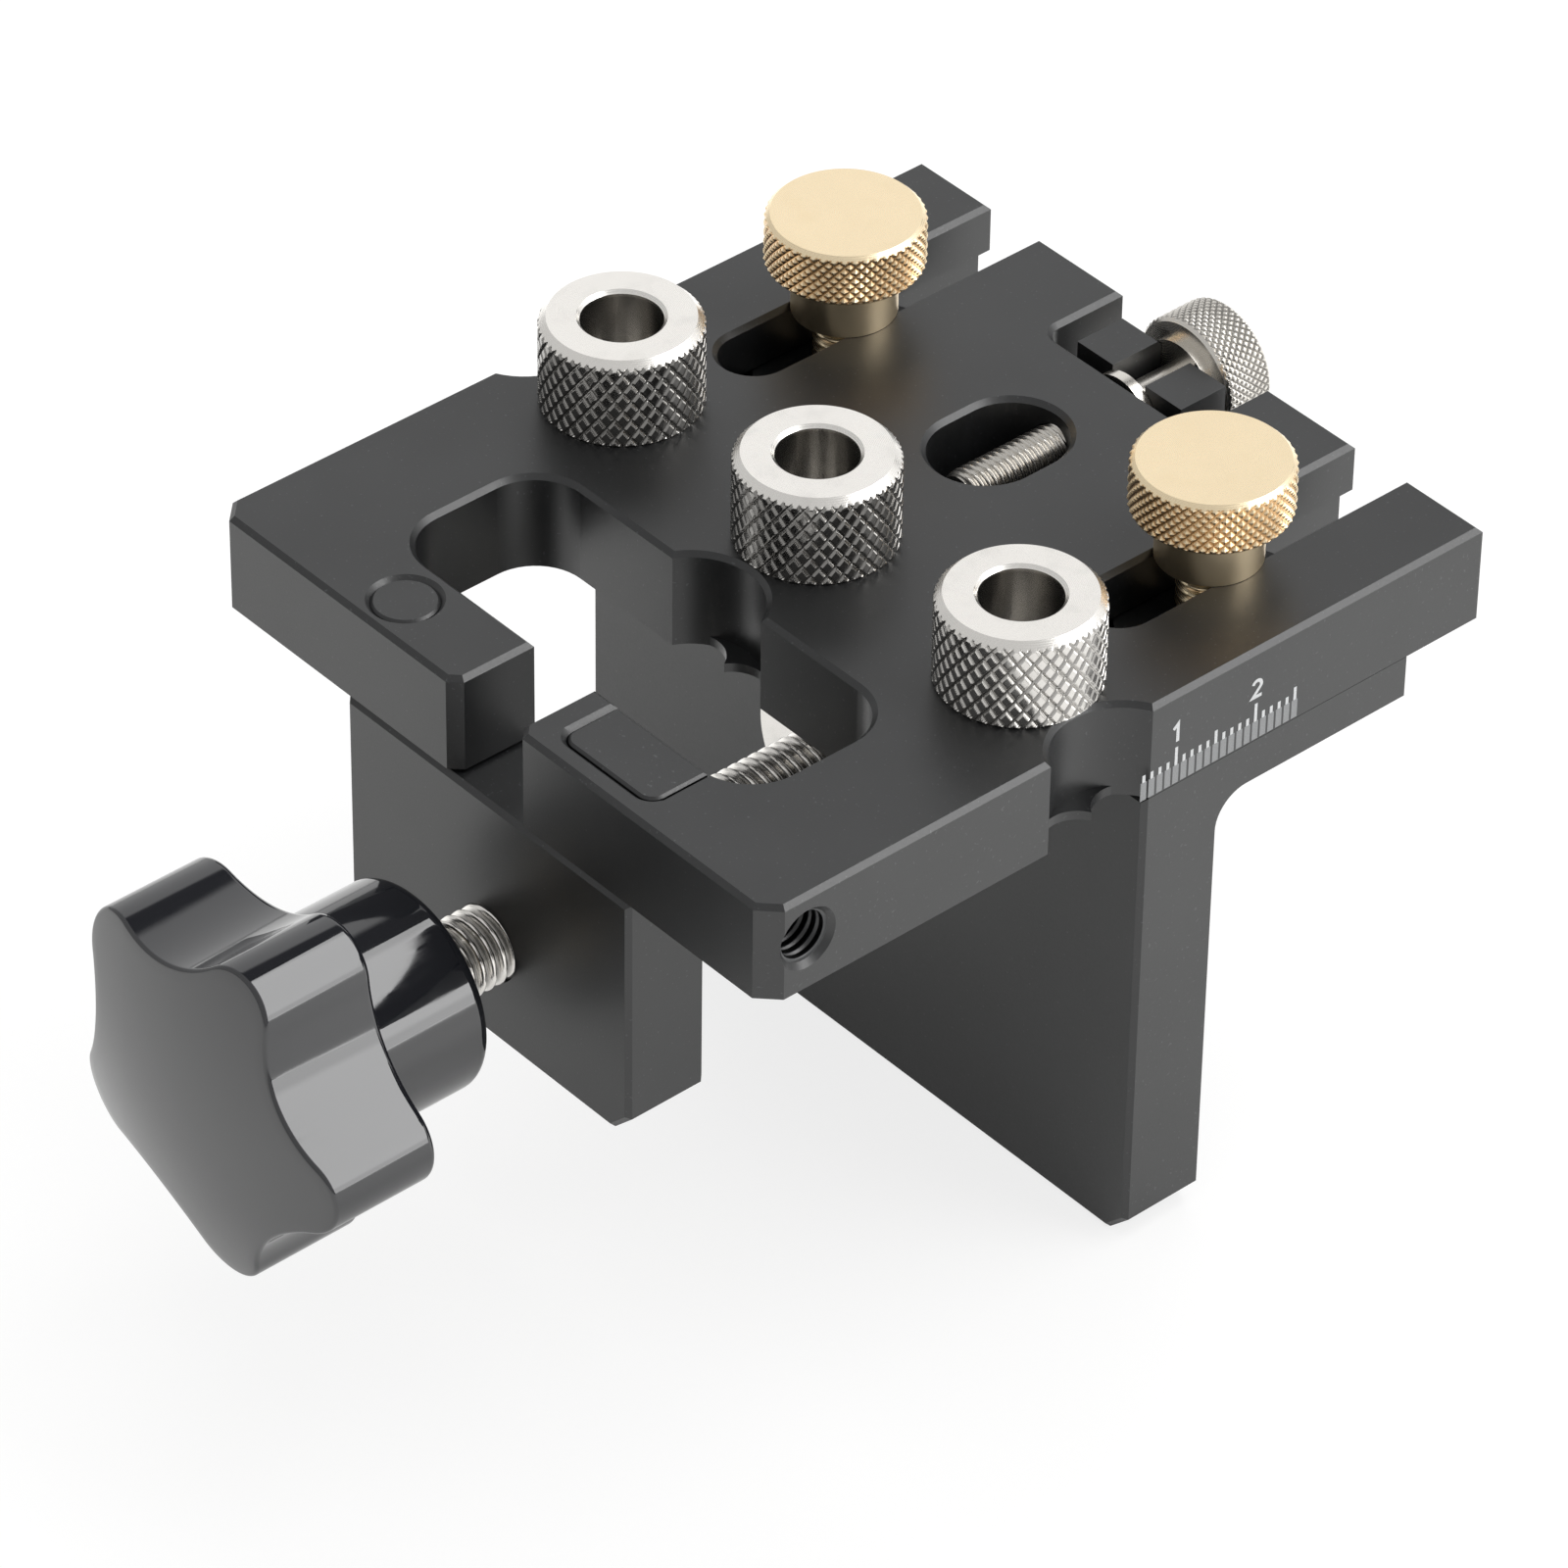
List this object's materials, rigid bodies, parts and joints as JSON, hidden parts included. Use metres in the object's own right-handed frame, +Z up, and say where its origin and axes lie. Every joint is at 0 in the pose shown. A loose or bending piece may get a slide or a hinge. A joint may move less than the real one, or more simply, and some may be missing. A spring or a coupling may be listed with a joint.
{
  "type": "doweling jig",
  "caption": "Adjustable doweling jig: drill guide plate with bushes, sliding right-angled fence with fine adjuster and lock screws, and a star-knob screw clamp.",
  "frame": {"origin": "axis of the middle guide bush, on the guide plate's top face", "axes": "+X to the right along the bush row, towards the printed scale; +Y to the rear, towards the fine adjuster; +Z up along the drilling axis"},
  "size_m": [0.0786, 0.1287, 0.0754],
  "materials": {
    "black_anodised": "satin black anodised over fine bead blast",
    "black_screw_steel": "black oxide",
    "bush_steel": "bright turned top, dark coarse diamond knurl",
    "brass": "satin turned brass with fine diamond knurl",
    "bright_steel": "bright nickelled",
    "knob_plastic": "high gloss black moulding",
    "insert_brass": "turned"
  },
  "bodies": {
    "guide": {"guide_plate": "black_anodised", "jaw_block": "black_anodised", "jaw_round_pin": "black_anodised"},
    "fence": {"fence_bracket": "black_anodised", "guide_key_left": "black_anodised", "guide_key_right": "black_anodised", "yoke": "black_anodised", "yoke_screws": "black_screw_steel"},
    "adjuster": {"adjusting_screw": "bright_steel", "adjusting_knob": "bright_steel"},
    "lock_left": {"lock_screw_left": "brass"},
    "lock_right": {"lock_screw_right": "brass"},
    "pad": {"swivel_pad": "bright_steel"},
    "clamp": {"clamp_screw": "bright_steel", "pad_retaining_ring": "bright_steel", "star_knob": "knob_plastic", "knob_insert": "insert_brass"},
    "bush_left": {"guide_bush_left": "bush_steel"},
    "bush_middle": {"guide_bush_middle": "bush_steel"},
    "bush_right": {"guide_bush_right": "bush_steel"}
  },
  "joints": [
    {"name": "fence_travel", "type": "slide", "parent": "guide", "child": "fence", "axis": [0, 1, 0], "range_m": [0, 0.019]},
    {"name": "adjuster_turn", "type": "hinge", "parent": "fence", "child": "adjuster", "pos_m": [0, 0.0396, -0.0043], "axis": [0, 1, 0], "range_deg": [-10, 8600]},
    {"name": "lock_left_turn", "type": "hinge", "parent": "fence", "child": "lock_left", "pos_m": [-0.02565, 0.026, 0], "axis": [0, 0, 1], "range_deg": [0, 360]},
    {"name": "lock_right_turn", "type": "hinge", "parent": "fence", "child": "lock_right", "pos_m": [0.02565, 0.026, 0], "axis": [0, 0, 1], "range_deg": [0, 360]},
    {"name": "clamp_travel", "type": "slide", "parent": "guide", "child": "pad", "axis": [0, -1, 0], "range_m": [0, 0.031]},
    {"name": "clamp_turn", "type": "hinge", "parent": "pad", "child": "clamp", "pos_m": [0, 0.002, -0.0279], "axis": [0, -1, 0], "range_deg": [-10, 8950]},
    {"name": "bush_left_lift", "type": "slide", "parent": "guide", "child": "bush_left", "axis": [0, 0, 1], "range_m": [0, 0.0106]},
    {"name": "bush_middle_lift", "type": "slide", "parent": "guide", "child": "bush_middle", "axis": [0, 0, 1], "range_m": [0, 0.0106]},
    {"name": "bush_right_lift", "type": "slide", "parent": "guide", "child": "bush_right", "axis": [0, 0, 1], "range_m": [0, 0.0106]}
  ],
  "couplings": [
    {"joint": "adjuster_turn", "follows": "fence_travel", "rad_per_m": 7854},
    {"joint": "clamp_turn", "follows": "clamp_travel", "rad_per_m": 5026.5}
  ]
}
